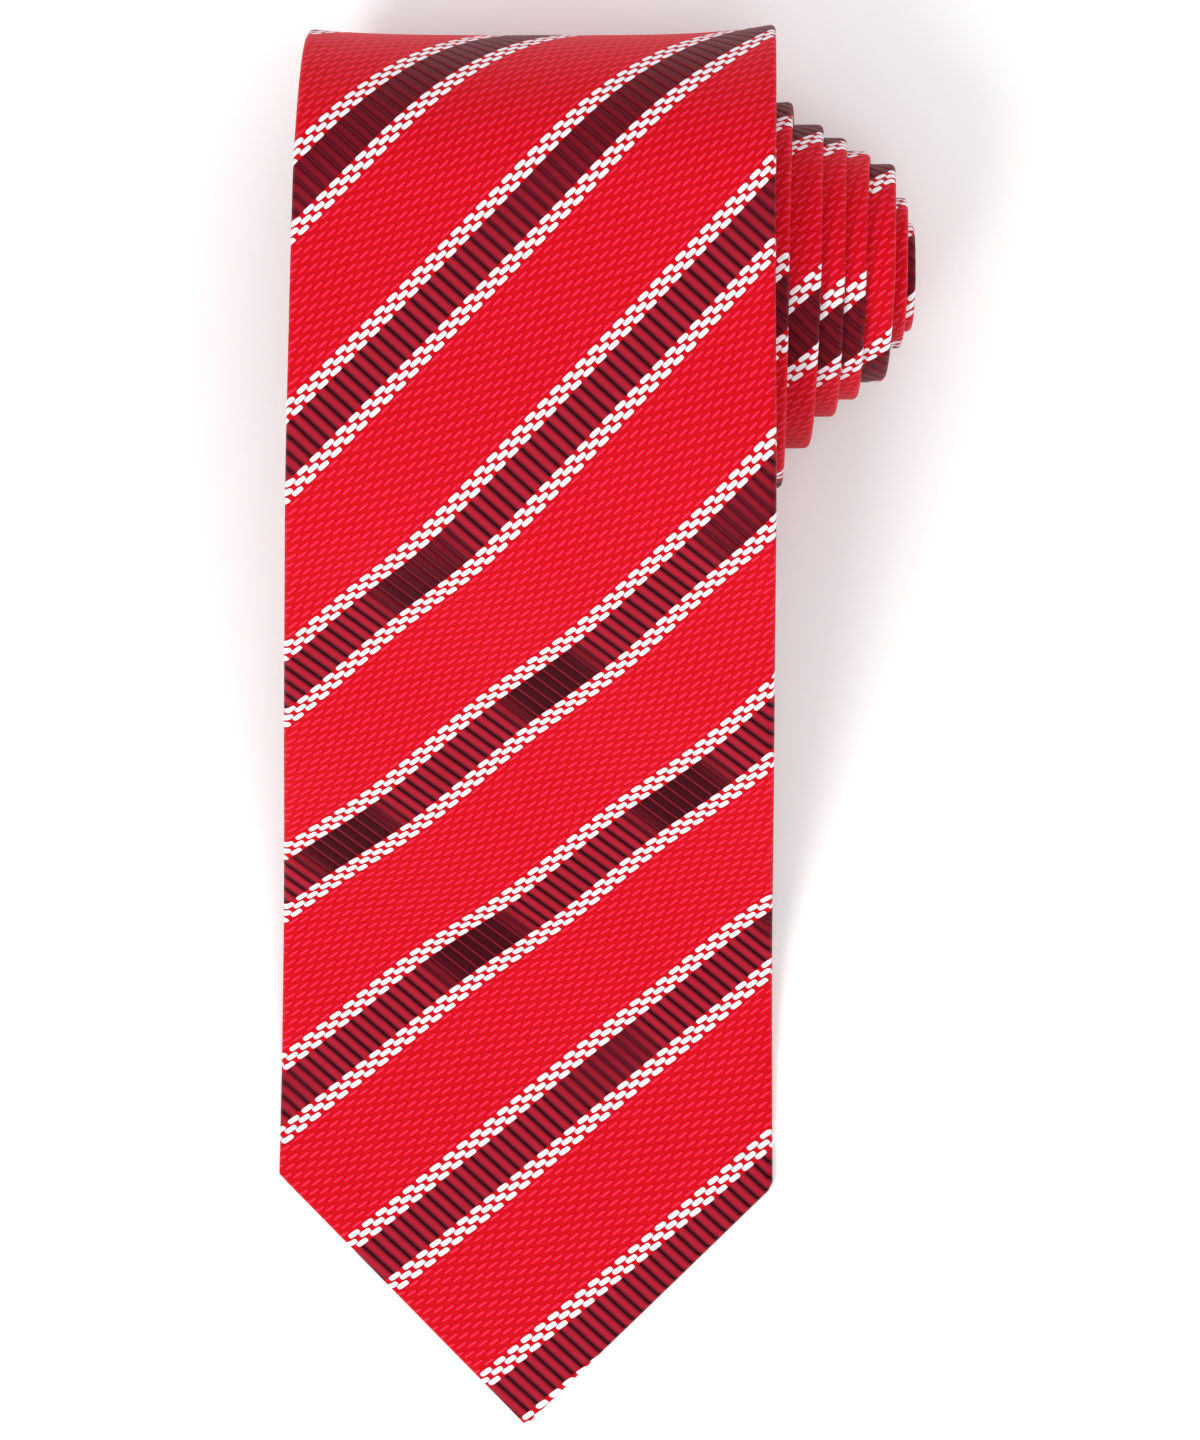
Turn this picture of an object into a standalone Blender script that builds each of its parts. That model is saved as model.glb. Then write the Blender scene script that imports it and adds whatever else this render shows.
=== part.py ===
"""A striped woven necktie, rolled up from its narrow end and laid on a table with its wide blade
coming over the top of the roll and down to the table.

Frame: metres, +Z up. The origin is on the table, under the middle of the flat strip that the roll
rests on. The roll's axis runs along X, and the blade's tip points to -Y.

The cloth follows one line in the YZ plane, the tie's centre line, which starts at the blade's tip.
A place on the tie is its distance along that line from the tip, the way across it (X) and the depth
below its face side. The face side is up on the blade and outwards on the roll.
"""

import math
from bisect import bisect_right

import bmesh
import bpy
from mathutils import Matrix, Vector

MM = 0.001

# Layers, from the face side to the back
SKIN = 0.35 * MM  # woven shell cloth
LAYER_GAP = 0.20 * MM  # air between two layers that touch
INTERLINING = 0.60 * MM
TIPPING = 0.20 * MM  # lining cloth behind each end
TURN_GAP = 0.25 * MM  # least air between two turns of the roll

# Blade and tail outline
BLADE_WIDTH = 90.6 * MM  # at the shoulders
CROWN_WIDTH = 83.6 * MM  # at the far fold, behind the roll
CROWN_AT = 290 * MM
NECK_WIDTH = 38 * MM
NECK_FROM = 790 * MM
NECK_TO = 1030 * MM
TAIL_WIDTH = 46 * MM
LEFT_SHOULDER = 46.2 * MM  # how far up from the tip the point's left side runs
RIGHT_SHOULDER = 43.9 * MM
TAIL_POINT = 23 * MM  # length of the tail's point
BLUNT = 1.6 * MM  # a point ends this far short of its corner
HEM = 11.3 * MM  # shell turned under round the blade's point, measured across
TAIL_HEM = 7 * MM
SEAM_OPENING = 1.2 * MM  # between the two back flaps, where the slip stitch lies
TAIL_FLAPS_MEET = 55 * MM  # from the tail's end
STITCH_WIDTH = 0.6 * MM

# Roll: half extents of its eye, and the slack between turns, from the outermost turn inwards
EYE_BACK = 5.0 * MM
EYE_FRONT = 4.0 * MM
EYE_CREST = 4.0 * MM
EYE_BOTTOM = 4.0 * MM
BACK_SLACK = (9.45, 1.65, 0, 0, 0, 3.7, 2.15, 2.15)
FRONT_SLACK = (4.85, 3.35, 0.75, 0.75, 3.85, 0.65, 1.55)
CREST_SLACK = (4.15, 1.65, 0.85, 0.25, 0.15, 2.85, 2.15, 1.65)
BOTTOM_SLACK = (0.2, 0.15, 0.15, 0.15, 0.15, 2.25, 1.45, 1.15)
TURNS = len(BACK_SLACK)
CREST_FLAT_BACK = 16 * MM  # the outer turn is flat on top from here behind the axis
CREST_FLAT_FRONT = 24 * MM  # to here in front of it
REST_FLAT = 19 * MM  # half length of the flat strip that the roll rests on

# X of the right edge at the blade's shoulder, and at each turn's crest from the outermost inwards
SHOULDER_RIGHT = 31.7 * MM
CREST_RIGHT = (30.9, 33.4, 39.2, 43.5, 47.4, 52.6, 55.0, 56.6, 56.6)

# Blade's fall from the roll to the table
FALL_ANGLE = math.radians(36)
SHOULDER_RADIUS = 45 * MM  # bend over the roll's front
FOOT_RADIUS = 60 * MM  # bend onto the table
TIP_FLAT = 61.1 * MM  # length that lies flat on the table

# Joints
TIP_CURL_AT = 52 * MM  # from the tip
CURL_BELOW_TACK = 5 * MM
LIFT_INSET = 4 * MM  # the lift axis is this far behind the front end of the roll's flat top
NECK_SEAM_TURN = 2.5  # the front panel ends under the third turn, where the core begins
TAIL_SEAM_TURN = 4.5
CUT_GAP = 0.3 * MM  # air between two pieces that meet end to end

# Trimmings on the blade's back, each placed down the slope from the one above it
KEEPER_BELOW_SHOULDER = 17 * MM
LABEL_BELOW_KEEPER = 19.5 * MM
TACK_BELOW_LABEL = 13 * MM
FLAPS_MEET_BELOW_TACK = 12 * MM
BAR_TACK_LENGTH = 9 * MM
BAR_TACK_WIDTH = 1.4 * MM
THREAD = 0.5 * MM  # how far a tack stands out
LABEL_WIDTH = 42 * MM
LABEL_HEIGHT = 17 * MM
LABEL_THICK = 0.3 * MM
CARE_LABEL_WIDTH = 13 * MM
CARE_LABEL_HEIGHT = 24 * MM
CARE_LABEL_OFFSET = 31 * MM  # right of the blade's centre line
KEEPER_WIDTH = 46 * MM
KEEPER_HEIGHT = 14 * MM
KEEPER_THICK = 0.8 * MM
KEEPER_STAND = 1.6 * MM  # how far the loop bows from the blade
KEEPER_FOOT = 5 * MM
TAIL_TACK_AT = 62 * MM  # from the tail's end

STEPS = 6  # facets in a quarter turn

THICK = 2 * SKIN + 3 * LAYER_GAP + INTERLINING + TIPPING
PITCH = THICK + TURN_GAP

RED = (0.76, 0.016, 0.035)
DARK_RED = (0.30, 0.012, 0.022)
WINE = (0.20, 0.010, 0.018)
CREAM = (0.80, 0.76, 0.68)
BLACK = (0.02, 0.02, 0.022)
THREAD_RED = (0.55, 0.012, 0.025)


def reach(eye, slack, turn):
    """Half extent of one side of a turn: the eye, and every turn inside this one."""
    return eye + sum(PITCH + gap * MM for gap in slack[turn:])


class Line:
    """The tie's centre line, as points with their distance from the tip and their turn."""

    def __init__(self):
        self.points = []
        self.turns = []
        self.run_out()
        self.roll_in()
        self.distances = [0.0]
        for a, b in zip(self.points, self.points[1:]):
            self.distances.append(self.distances[-1] + (b - a).length)
        self.length = self.distances[-1]

    def add(self, y, z, turn):
        point = Vector((y, z))
        if not self.points or (point - self.points[-1]).length > 0.01 * MM:
            self.points.append(point)
            self.turns.append(turn)

    def run_out(self):
        """The blade, from its tip to the roll's flat top."""
        eye_z = THICK / 2 + reach(EYE_BOTTOM, BOTTOM_SLACK, 0)
        self.crest = eye_z + reach(EYE_CREST, CREST_SLACK, 0)
        drop = self.crest - THICK / 2
        bends = (SHOULDER_RADIUS + FOOT_RADIUS) * (1 - math.cos(FALL_ANGLE))
        slope = (drop - bends) / math.sin(FALL_ANGLE)
        shoulder_end = -CREST_FLAT_FRONT - SHOULDER_RADIUS * math.sin(FALL_ANGLE)
        slope_end = shoulder_end - slope * math.cos(FALL_ANGLE)
        foot_end = slope_end - FOOT_RADIUS * math.sin(FALL_ANGLE)
        self.tip_y = foot_end - TIP_FLAT
        self.eye_z = eye_z
        self.slope_from = TIP_FLAT + FOOT_RADIUS * FALL_ANGLE
        self.slope_to = self.slope_from + slope
        for step in range(6):
            self.add(self.tip_y + TIP_FLAT * step / 6, THICK / 2, -1.0)
        for step in range(STEPS):
            angle = FALL_ANGLE * step / STEPS
            self.add(
                foot_end + FOOT_RADIUS * math.sin(angle),
                THICK / 2 + FOOT_RADIUS * (1 - math.cos(angle)),
                -0.8,
            )
        top = self.crest - SHOULDER_RADIUS
        for step in range(4):
            share = step / 4
            self.add(
                slope_end + share * (shoulder_end - slope_end),
                top
                + SHOULDER_RADIUS * math.cos(FALL_ANGLE)
                - (1 - share) * slope * math.sin(FALL_ANGLE),
                -0.5 + 0.1 * share,
            )
        for step in range(STEPS + 1):
            angle = FALL_ANGLE * (1 - step / STEPS)
            self.add(
                -CREST_FLAT_FRONT - SHOULDER_RADIUS * math.sin(angle),
                top + SHOULDER_RADIUS * math.cos(angle),
                -0.3 + 0.2 * step / STEPS,
            )
        for step in range(1, 4):
            share = step / 4
            self.add(-CREST_FLAT_FRONT * (1 - share), self.crest, -0.1 * (1 - share))

    def quarter(self, centre, half, start, turn):
        """A quarter of an ellipse about centre, from the angle start clockwise towards the back."""
        for step in range(STEPS + 1):
            share = step / STEPS
            angle = start - share * math.pi / 2
            y = centre[0] + half[0] * math.cos(angle)
            z = centre[1] + half[1] * math.sin(angle)
            self.add(y, z, turn + share / 4)

    def roll_in(self):
        """Turn after turn, from the outer crest in to the eye."""
        self.add(0, self.crest, 0.0)
        for turn in range(TURNS + 1):
            crest = self.eye_z + reach(EYE_CREST, CREST_SLACK, turn)
            back = reach(EYE_BACK, BACK_SLACK, turn)
            bottom = self.eye_z - reach(EYE_BOTTOM, BOTTOM_SLACK, turn)
            flat_top = CREST_FLAT_BACK if turn == 0 else 0
            rest = REST_FLAT if turn == 0 else 0
            middle = (crest + bottom) / 2
            self.quarter((flat_top, middle), (back - flat_top, crest - middle), math.pi / 2, turn)
            self.quarter((rest, middle), (back - rest, middle - bottom), 0, turn + 0.25)
            if turn == TURNS:
                break
            front = reach(EYE_FRONT, FRONT_SLACK, turn)
            crest_in = self.eye_z + reach(EYE_CREST, CREST_SLACK, turn + 1)
            middle = (crest_in + bottom) / 2
            self.quarter((-rest, middle), (front - rest, middle - bottom), -math.pi / 2, turn + 0.5)
            self.quarter((0, middle), (front, crest_in - middle), -math.pi, turn + 0.75)

    def at(self, distance):
        """(point, unit tangent towards the tail, turn) at a distance from the tip."""
        index = min(max(bisect_right(self.distances, distance) - 1, 0), len(self.points) - 2)
        a, b = self.points[index], self.points[index + 1]
        share = (distance - self.distances[index]) / (b - a).length
        turn = self.turns[index] + share * (self.turns[index + 1] - self.turns[index])
        return a.lerp(b, share), (b - a).normalized(), turn

    def normal(self, distance):
        """Unit normal towards the face side, mitred at the line's own points."""
        near = 0.02 * MM
        before = self.at(distance - near)[1]
        after = self.at(distance + near)[1]
        tangent = (before + after).normalized()
        mitre = 1 / max(tangent.dot(after), 0.8)
        return Vector((-tangent.y, tangent.x)) * mitre

    def distance_of_turn(self, turn):
        for index, value in enumerate(self.turns[1:], 1):
            if value >= turn:
                return self.distances[index]
        return self.length

    def stations(self, start, end):
        """Distances of the line's points between start and end, with both ends."""
        near = 0.4 * MM
        inner = [d for d in self.distances if start + near < d < end - near]
        return [start, *inner, end]


LINE = Line()
LIFT_AT = LINE.slope_to + SHOULDER_RADIUS * FALL_ANGLE + LIFT_INSET
KEEPER_AT = LINE.slope_to - KEEPER_BELOW_SHOULDER
LABEL_AT = KEEPER_AT - LABEL_BELOW_KEEPER
BAR_TACK_AT = LABEL_AT - TACK_BELOW_LABEL
BLADE_CURL_AT = BAR_TACK_AT - CURL_BELOW_TACK
FLAPS_MEET = BAR_TACK_AT - FLAPS_MEET_BELOW_TACK
CREST_FROM = LINE.distance_of_turn(0)
CORE_FROM = LINE.distance_of_turn(NECK_SEAM_TURN)
TAIL_FROM = LINE.distance_of_turn(TAIL_SEAM_TURN)


def between(value, start, end, low, high):
    share = min(max((value - start) / (end - start), 0), 1)
    return low + share * (high - low)


def width(distance):
    """The tie's full width, leaving its two points aside."""
    if distance < CROWN_AT:
        return between(distance, LEFT_SHOULDER, CROWN_AT, BLADE_WIDTH, CROWN_WIDTH)
    if distance < NECK_TO:
        return between(distance, CROWN_AT, NECK_FROM, CROWN_WIDTH, NECK_WIDTH)
    return between(distance, NECK_TO, LINE.length - TAIL_POINT, NECK_WIDTH, TAIL_WIDTH)


def full_right(distance):
    """X of the right edge, leaving the two points aside."""
    turn = LINE.at(distance)[2]
    if turn < 0:
        crest = CREST_RIGHT[0] * MM
        return between(distance, RIGHT_SHOULDER, CREST_FROM, SHOULDER_RIGHT, crest)
    whole = min(int(turn), TURNS - 1)
    return between(turn, whole, whole + 1, CREST_RIGHT[whole], CREST_RIGHT[whole + 1]) * MM


def edges(distance):
    """X of the left and right edges."""
    full = width(distance)
    centre = full_right(distance) - full / 2
    left_share = min(distance / LEFT_SHOULDER, (LINE.length - distance) / TAIL_POINT, 1)
    right_share = min(distance / RIGHT_SHOULDER, (LINE.length - distance) / TAIL_POINT, 1)
    return centre - left_share * full / 2, centre + right_share * full / 2


def flaps(distance):
    """X of the inner edges of the two back flaps."""
    left, right = edges(distance)
    from_tail = LINE.length - distance
    if distance < LEFT_SHOULDER:
        turned = HEM
    elif from_tail < TAIL_POINT:
        turned = TAIL_HEM
    elif distance < FLAPS_MEET:
        turned = between(distance, LEFT_SHOULDER, FLAPS_MEET, HEM, BLADE_WIDTH)
    elif from_tail < TAIL_FLAPS_MEET:
        turned = between(from_tail, TAIL_POINT, TAIL_FLAPS_MEET, TAIL_HEM, TAIL_WIDTH)
    else:
        turned = BLADE_WIDTH
    turned = min(turned, (right - left - SEAM_OPENING) / 2)
    return left + turned, right - turned


def shell_section(distance):
    """The shell's C, as (x, depth) pairs: outside from the left flap round to the right, then inside."""
    left, right = edges(distance)
    flap_left, flap_right = flaps(distance)
    outside = [
        (flap_left, THICK),
        (left, THICK),
        (left, 0),
        (right, 0),
        (right, THICK),
        (flap_right, THICK),
    ]
    inside = [
        (flap_left, THICK - SKIN),
        (left + SKIN, THICK - SKIN),
        (left + SKIN, SKIN),
        (right - SKIN, SKIN),
        (right - SKIN, THICK - SKIN),
        (flap_right, THICK - SKIN),
    ]
    return outside, inside


def slab_section(top, thick):
    """A function for the section of a flat layer inside the shell."""

    def section(distance):
        left, right = edges(distance)
        inset = SKIN + LAYER_GAP
        face = [(left + inset, top), (right - inset, top)]
        rear = [(left + inset, top + thick), (right - inset, top + thick)]
        return face, rear

    return section


def stitch_section(distance):
    """The slip stitch lies between the back flaps."""
    flap_left, flap_right = flaps(distance)
    centre = (flap_left + flap_right) / 2
    half = STITCH_WIDTH / 2
    face = [(centre - half, THICK - SKIN), (centre + half, THICK - SKIN)]
    rear = [(centre - half, THICK), (centre + half, THICK)]
    return face, rear


def on_tie(distance, x, depth):
    """World point at a distance from the tip, X across and a depth below the face side."""
    point = LINE.at(distance)[0] + LINE.normal(distance) * (THICK / 2 - depth)
    return Vector((x, point.x, point.y))


def material(name, colour, roughness):
    found = bpy.data.materials.get(name)
    if found:
        return found
    made = bpy.data.materials.new(name)
    made.use_nodes = True
    shader = made.node_tree.nodes["Principled BSDF"]
    shader.inputs["Base Color"].default_value = (*colour, 1)
    shader.inputs["Roughness"].default_value = roughness
    shader.inputs["Metallic"].default_value = 0
    made.diffuse_color = (*colour, 1)
    return made


def finish(obj, pivot, surface):
    """Hang a piece, made in place, on its pivot, with its own origin on the pivot's axis."""
    if pivot:
        obj.data.transform(Matrix.Translation(-pivot.matrix_world.translation))
        obj.parent = pivot
    obj.data.materials.append(surface)
    TIE.objects.link(obj)
    return obj


def loft(name, section, start, end, pivot, surface):
    """Sweep a section, given as two matching rows of points, along the tie."""
    mesh = bpy.data.meshes.new(name)
    shape = bmesh.new()
    rings = []
    for distance in LINE.stations(start, end):
        first, second = section(distance)
        first_row = [shape.verts.new(on_tie(distance, x, depth)) for x, depth in first]
        second_row = [shape.verts.new(on_tie(distance, x, depth)) for x, depth in second]
        rings.append((first_row, second_row))
    for ring in (rings[0], rings[-1]):
        for index in range(len(ring[0]) - 1):
            shape.faces.new([*ring[0][index : index + 2], *ring[1][index : index + 2][::-1]])
    for ring, following in zip(rings, rings[1:]):
        loop = ring[0] + ring[1][::-1]
        next_loop = following[0] + following[1][::-1]
        for index in range(len(loop)):
            after = (index + 1) % len(loop)
            shape.faces.new([loop[index], loop[after], next_loop[after], next_loop[index]])
    bmesh.ops.recalc_face_normals(shape, faces=shape.faces)
    shape.to_mesh(mesh)
    shape.free()
    return finish(bpy.data.objects.new(name, mesh), pivot, surface)


def plate(name, at, x, size, stand, pivot, surface, bevel=0.08 * MM):
    """A thin block (across, along, thick) on the blade's straight back, standing clear of it."""
    bpy.ops.mesh.primitive_cube_add(size=1)
    obj = bpy.context.object
    obj.name = name
    obj.data.name = name
    point, tangent, _ = LINE.at(at)
    normal = LINE.normal(at)
    centre = point - normal * (THICK / 2 + stand + size[2] / 2)
    turn = Matrix(((1, 0, 0), (0, tangent.x, normal.x), (0, tangent.y, normal.y))).to_4x4()
    stretch = Matrix.Diagonal((*size, 1))
    obj.data.transform(Matrix.Translation((x, centre.x, centre.y)) @ turn @ stretch)
    for collection in list(obj.users_collection):
        collection.objects.unlink(obj)
    edge = obj.modifiers.new("rounded edges", "BEVEL")
    edge.width = bevel
    edge.segments = 1
    return finish(obj, pivot, surface)


def keeper(pivot, surface):
    """The loop: a band across the back, sewn down at its two feet and bowed between them."""
    centre = sum(edges(KEEPER_AT)) / 2
    half = KEEPER_WIDTH / 2
    profile = [
        (-half, LAYER_GAP),
        (-half + KEEPER_FOOT, LAYER_GAP),
        (-half + 1.6 * KEEPER_FOOT, KEEPER_STAND),
        (half - 1.6 * KEEPER_FOOT, KEEPER_STAND),
        (half - KEEPER_FOOT, LAYER_GAP),
        (half, LAYER_GAP),
    ]
    mesh = bpy.data.meshes.new("keeper_loop")
    shape = bmesh.new()
    rows = []
    for distance in (KEEPER_AT - KEEPER_HEIGHT / 2, KEEPER_AT + KEEPER_HEIGHT / 2):
        rows.append([shape.verts.new(on_tie(distance, centre + x, THICK + d)) for x, d in profile])
    for index in range(len(profile) - 1):
        low, high = rows[0][index : index + 2], rows[1][index : index + 2]
        shape.faces.new([*low, *high[::-1]])
    bmesh.ops.recalc_face_normals(shape, faces=shape.faces)
    shape.to_mesh(mesh)
    shape.free()
    obj = bpy.data.objects.new("keeper_loop", mesh)
    down = Vector((0, -LINE.normal(KEEPER_AT).x, -LINE.normal(KEEPER_AT).y))
    thick = obj.modifiers.new("cloth", "SOLIDIFY")
    thick.thickness = KEEPER_THICK
    thick.use_even_offset = True
    thick.offset = 1 if mesh.polygons[0].normal.dot(down) > 0 else -1
    return finish(obj, pivot, surface)


def pivot_at(name, location, parent=None):
    empty = bpy.data.objects.new(name, None)
    empty.empty_display_size = 10 * MM
    empty.location = location - (parent.matrix_world.translation if parent else Vector())
    empty.parent = parent
    TIE.objects.link(empty)
    bpy.context.view_layer.update()
    return empty


def build_blade(lift, curl, tip):
    """The part of the front panel that hangs free of the roll, in its three lengths."""
    lining = slab_section(SKIN + LAYER_GAP, INTERLINING)
    tipping = slab_section(SKIN + 2 * LAYER_GAP + INTERLINING, TIPPING)
    cut = CUT_GAP / 2
    lengths = (
        ("tip", tip, BLUNT, TIP_CURL_AT - cut),
        ("lower", curl, TIP_CURL_AT + cut, BLADE_CURL_AT - cut),
        ("upper", lift, BLADE_CURL_AT + cut, LIFT_AT - cut),
    )
    for place, pivot, start, end in lengths:
        inset = 3 * MM if place == "tip" else 0
        loft(f"front_panel_{place}", shell_section, start, end, pivot, SHELL)
        loft(f"interlining_{place}", lining, start + inset, end, pivot, WADDING)
        if place != "upper":
            loft(f"front_tipping_{place}", tipping, start + inset, end, pivot, LINING)
    loft("slip_stitch_upper", stitch_section, *lengths[2][2:], lift, STITCHING)


def build_trimmings(lift):
    centre = sum(edges(LABEL_AT)) / 2
    plate(
        "front_bar_tack",
        BAR_TACK_AT,
        sum(edges(BAR_TACK_AT)) / 2,
        (BAR_TACK_LENGTH, BAR_TACK_WIDTH, THREAD),
        LAYER_GAP,
        lift,
        STITCHING,
    )
    label = (LABEL_WIDTH, LABEL_HEIGHT, LABEL_THICK)
    plate("maker_label", LABEL_AT, centre, label, LAYER_GAP, lift, LABEL)
    care = (CARE_LABEL_WIDTH, CARE_LABEL_HEIGHT, LABEL_THICK)
    plate("care_label", LABEL_AT, centre + CARE_LABEL_OFFSET, care, LAYER_GAP, lift, CARE)
    keeper(lift, SHELL)
    stitched = (
        ("maker_label_stitch", LABEL_AT, LABEL_WIDTH / 2 - 1.5 * MM, LABEL_HEIGHT, LABEL_THICK),
        ("keeper_tack", KEEPER_AT, (KEEPER_WIDTH - KEEPER_FOOT) / 2, KEEPER_HEIGHT, KEEPER_THICK),
    )
    for name, at, offset, height, under in stitched:
        size = (1.0 * MM, height - 4 * MM, THREAD / 2)
        stand = 2 * LAYER_GAP + under
        plate(f"{name}_left", at, centre - offset, size, stand, lift, STITCHING, 0.05 * MM)
        plate(f"{name}_right", at, centre + offset, size, stand, lift, STITCHING, 0.05 * MM)


def build_roll():
    """The outer turns, which stay put on the table."""
    cut = CUT_GAP / 2
    span = (LIFT_AT + cut, CORE_FROM - cut)
    loft("front_panel_roll", shell_section, *span, None, SHELL)
    lining = slab_section(SKIN + LAYER_GAP, INTERLINING)
    loft("interlining_roll", lining, *span, None, WADDING)
    loft("slip_stitch_roll", stitch_section, *span, None, STITCHING)


def build_core(core):
    """The neck and tail, which slide sideways through the outer turns."""
    cut = CUT_GAP / 2
    end = LINE.length - BLUNT
    inner_end = end - 3 * MM
    stitch_end = LINE.length - TAIL_FLAPS_MEET
    loft("neck_panel", shell_section, CORE_FROM + cut, TAIL_FROM - cut, core, SHELL)
    loft("tail_panel", shell_section, TAIL_FROM + cut, end, core, SHELL)
    lining = slab_section(SKIN + LAYER_GAP, INTERLINING)
    loft("interlining_core", lining, CORE_FROM + cut, inner_end, core, WADDING)
    loft("slip_stitch_core", stitch_section, CORE_FROM + cut, stitch_end, core, STITCHING)
    tipping = slab_section(SKIN + 2 * LAYER_GAP + INTERLINING, TIPPING)
    loft("tail_tipping", tipping, stitch_end - 4 * MM, inner_end, core, LINING)
    tack_at = LINE.length - TAIL_TACK_AT
    size = (BAR_TACK_LENGTH * 0.7, BAR_TACK_WIDTH, THREAD)
    plate("tail_bar_tack", tack_at, sum(edges(tack_at)) / 2, size, LAYER_GAP, core, STITCHING)


for old in list(bpy.data.objects):
    bpy.data.objects.remove(old)

TIE = bpy.data.collections.new("necktie")
bpy.context.scene.collection.children.link(TIE)

SHELL = material("woven shell cloth", RED, 0.5)
WADDING = material("interlining", CREAM, 0.9)
LINING = material("tipping", WINE, 0.35)
STITCHING = material("sewing thread", THREAD_RED, 0.6)
LABEL = material("woven label", BLACK, 0.5)
CARE = material("printed satin label", CREAM, 0.45)

lift_axis = pivot_at("blade_lift_axis", on_tie(LIFT_AT, 0, 0))
curl_axis = pivot_at("blade_curl_axis", on_tie(BLADE_CURL_AT, 0, 0), lift_axis)
tip_axis = pivot_at("tip_curl_axis", on_tie(TIP_CURL_AT, 0, 0), curl_axis)
core_axis = pivot_at("core_slide_axis", Vector((0, 0, LINE.eye_z)))

build_blade(lift_axis, curl_axis, tip_axis)
build_trimmings(lift_axis)
build_roll()
build_core(core_axis)
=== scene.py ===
"""The looks of a rolled, striped necktie: its woven cloth, lining, stitching and labels.

The cloth follows the tie's centre line, which starts at the blade's tip, runs up over the roll and
winds inwards. A place on the tie is its distance along that line, the way across it (X) and the depth
below the face side. Metres throughout.
"""

import math
from bisect import bisect_right

import bmesh
import bpy
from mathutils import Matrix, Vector


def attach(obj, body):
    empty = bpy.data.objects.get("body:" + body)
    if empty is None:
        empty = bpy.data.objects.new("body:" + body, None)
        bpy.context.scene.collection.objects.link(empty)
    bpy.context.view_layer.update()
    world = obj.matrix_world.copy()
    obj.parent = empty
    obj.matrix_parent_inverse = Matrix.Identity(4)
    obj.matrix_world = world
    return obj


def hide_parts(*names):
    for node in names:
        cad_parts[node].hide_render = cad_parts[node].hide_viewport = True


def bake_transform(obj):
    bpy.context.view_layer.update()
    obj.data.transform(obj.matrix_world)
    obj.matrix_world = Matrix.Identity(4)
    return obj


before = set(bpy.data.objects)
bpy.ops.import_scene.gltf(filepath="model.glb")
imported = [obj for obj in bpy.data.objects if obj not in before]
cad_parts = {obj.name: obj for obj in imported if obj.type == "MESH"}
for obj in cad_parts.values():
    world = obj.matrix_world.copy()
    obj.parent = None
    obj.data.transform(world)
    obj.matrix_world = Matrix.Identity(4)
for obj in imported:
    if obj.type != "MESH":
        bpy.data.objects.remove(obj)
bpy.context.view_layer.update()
MM = 0.001

# The tie's make-up, as its solids have it
SKIN = 0.35 * MM
LAYER_GAP = 0.20 * MM
INTERLINING = 0.60 * MM
TIPPING = 0.20 * MM
TURN_GAP = 0.25 * MM
THICK = 2 * SKIN + 3 * LAYER_GAP + INTERLINING + TIPPING
PITCH = THICK + TURN_GAP
BLADE_WIDTH = 90.6 * MM
CROWN_WIDTH = 83.6 * MM
CROWN_AT = 290 * MM
NECK_WIDTH = 38 * MM
NECK_FROM = 790 * MM
NECK_TO = 1030 * MM
TAIL_WIDTH = 46 * MM
LEFT_SHOULDER = 46.2 * MM
RIGHT_SHOULDER = 43.9 * MM
SHOULDER_RIGHT = 31.7 * MM  # X of the right edge there
POINT_THICKNESS = 0.55  # of the tie's full thickness, at its two ends
POINT_LENGTH = 14 * MM
TAIL_POINT = 23 * MM
HEM = 11.3 * MM
TAIL_HEM = 7 * MM
SEAM_OPENING = 0.5 * MM
TAIL_FLAPS_MEET = 55 * MM

# The roll: each SLACK, in mm, is how loosely a turn lies on the next one in, from the outer turn
# to the inner one, and CREST_RIGHT is where its right edge is, in mm
EYE = 4.0 * MM
EYE_BACK = 5.0 * MM
BACK_SLACK = (9.45, 1.65, 0, 0, 0, 3.7, 2.15, 2.15)
FRONT_SLACK = (4.85, 3.35, 0.75, 0.75, 3.85, 0.65, 1.55)
CREST_SLACK = (4.15, 1.65, 0.85, 0.25, 0.15, 2.85, 2.15, 1.65)
BOTTOM_SLACK = (0.2, 0.15, 0.15, 0.15, 0.15, 2.25, 1.45, 1.15)
TURNS = len(BACK_SLACK)
CREST_FLAT_BACK = 16 * MM
CREST_FLAT_FRONT = 24 * MM
REST_FLAT = 19 * MM
NEAR = 0.01 * MM  # points of the line closer than this are one
CREST_RIGHT = (30.9, 33.4, 39.2, 43.5, 47.4, 52.6, 55.0, 56.6, 56.6)

# The blade's fall to the table
FALL_ANGLE = math.radians(36)
SHOULDER_RADIUS = 45 * MM
FOOT_RADIUS = 60 * MM
TIP_FLAT = 61.1 * MM

# Where the cloth bends
TIP_CURL_AT = 52 * MM
LIFT_INSET = 4 * MM
NECK_SEAM_TURN = 2.5
TAIL_SEAM_TURN = 4.5

# The stripes on each panel
STRIPE_ANGLE = math.radians(43.7)  # of a stripe above the line across the tie
STRIPE_PERIOD = 33.36 * MM  # square to the stripes
WEAVE_OFFSET = 13.3 * MM  # the weave's middle is this far right of the tie's own
FRONT_PHASE = 344.4 * MM  # a burgundy stripe crosses the weave's middle this far from the tip
NECK_PHASE = 780 * MM
TAIL_PHASE = 1063.2 * MM
FRONT_DRIFT = 16 * MM  # how far the stripes drift along the tie, and from where to where
FRONT_DRIFT_OVER = (470 * MM, 590 * MM)
TAIL_DRIFT = 12 * MM
TAIL_DRIFT_OVER = (1062 * MM, 1120 * MM)
SHEAR = 1.15  # how much steeper the stripes get, per metre from SHEAR_FROM up the blade
SHEAR_FROM = 135.4 * MM
SHEAR_LIMIT = 0.13
CREEP_TIP = -3 * MM  # the cloth is eased a little along the blade
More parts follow.
